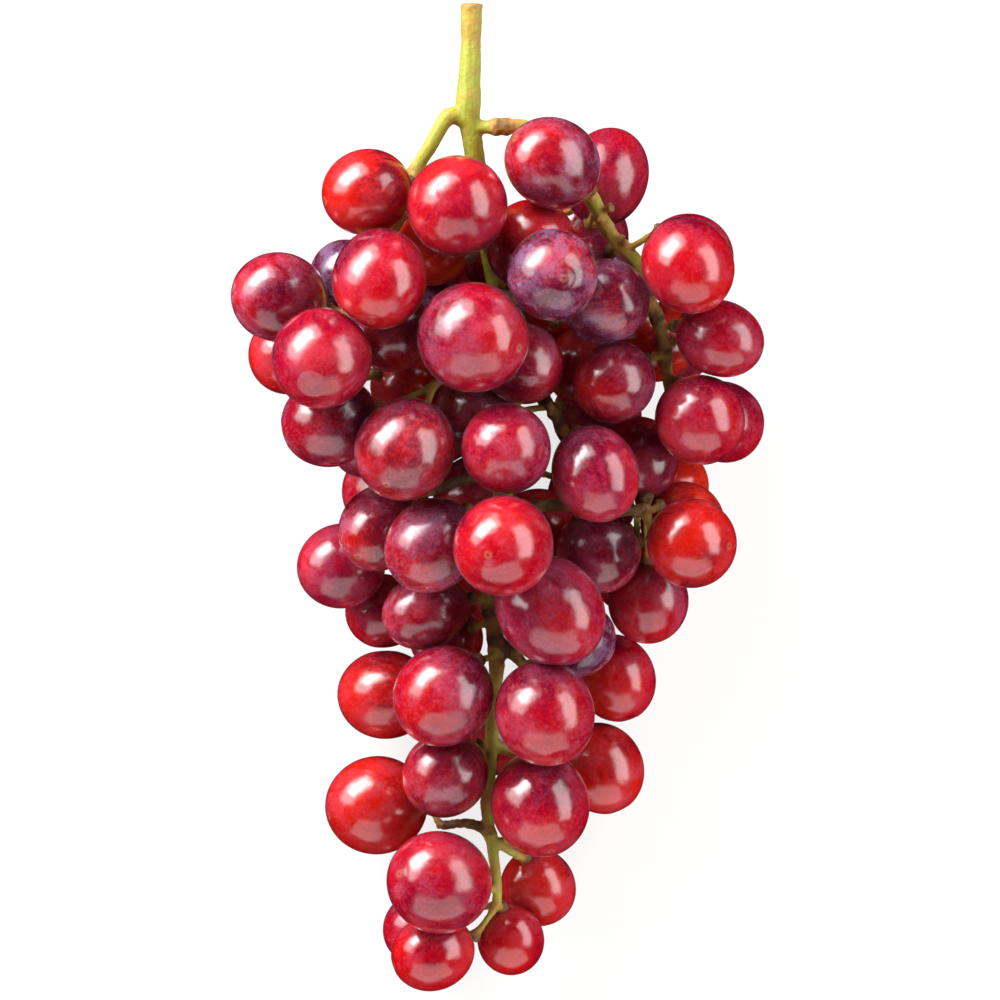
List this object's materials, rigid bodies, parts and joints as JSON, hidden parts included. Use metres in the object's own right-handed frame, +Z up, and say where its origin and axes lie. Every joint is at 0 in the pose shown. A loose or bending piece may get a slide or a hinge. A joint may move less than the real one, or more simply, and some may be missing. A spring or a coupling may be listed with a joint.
{
  "type": "bunch of grapes",
  "caption": "Bunch of red table grapes lying on its back: round berries pressed together round a branched stem, with a bare cut stalk at the top.",
  "frame": {"origin": "centre of the bunch's bounding box, on the surface that it lies on", "axes": "+Y along the bunch towards the cut end of its stalk, +Z up from the surface, +X to the right of the face"},
  "size_m": [0.1174, 0.2184, 0.075],
  "materials": {
    "grape_skin": "thin, smooth, waxy fruit skin, glossy under a thin bloom",
    "stem": "green and brown stalk, matt, knobbly where it branches"
  },
  "bodies": {
    "root": {"stem": "stem", "berries_left_shoulder": "grape_skin", "berries_left_wing": "grape_skin", "berries_left_wing_under": "grape_skin", "berries_left_inner": "grape_skin", "berries_crown": "grape_skin", "berries_crown_under": "grape_skin", "berries_right_crown": "grape_skin", "berries_right_inner": "grape_skin", "berries_right_wing": "grape_skin", "berries_right_wing_under": "grape_skin", "berries_right_side": "grape_skin", "berries_centre": "grape_skin", "berries_centre_under": "grape_skin", "berries_left_side": "grape_skin", "berries_heart": "grape_skin", "berries_heart_under": "grape_skin", "berries_right_waist": "grape_skin", "berries_left_waist": "grape_skin", "berries_left_tail": "grape_skin", "berries_right_tail": "grape_skin", "berries_left_tip": "grape_skin", "berries_right_tip": "grape_skin"}
  },
  "joints": []
}
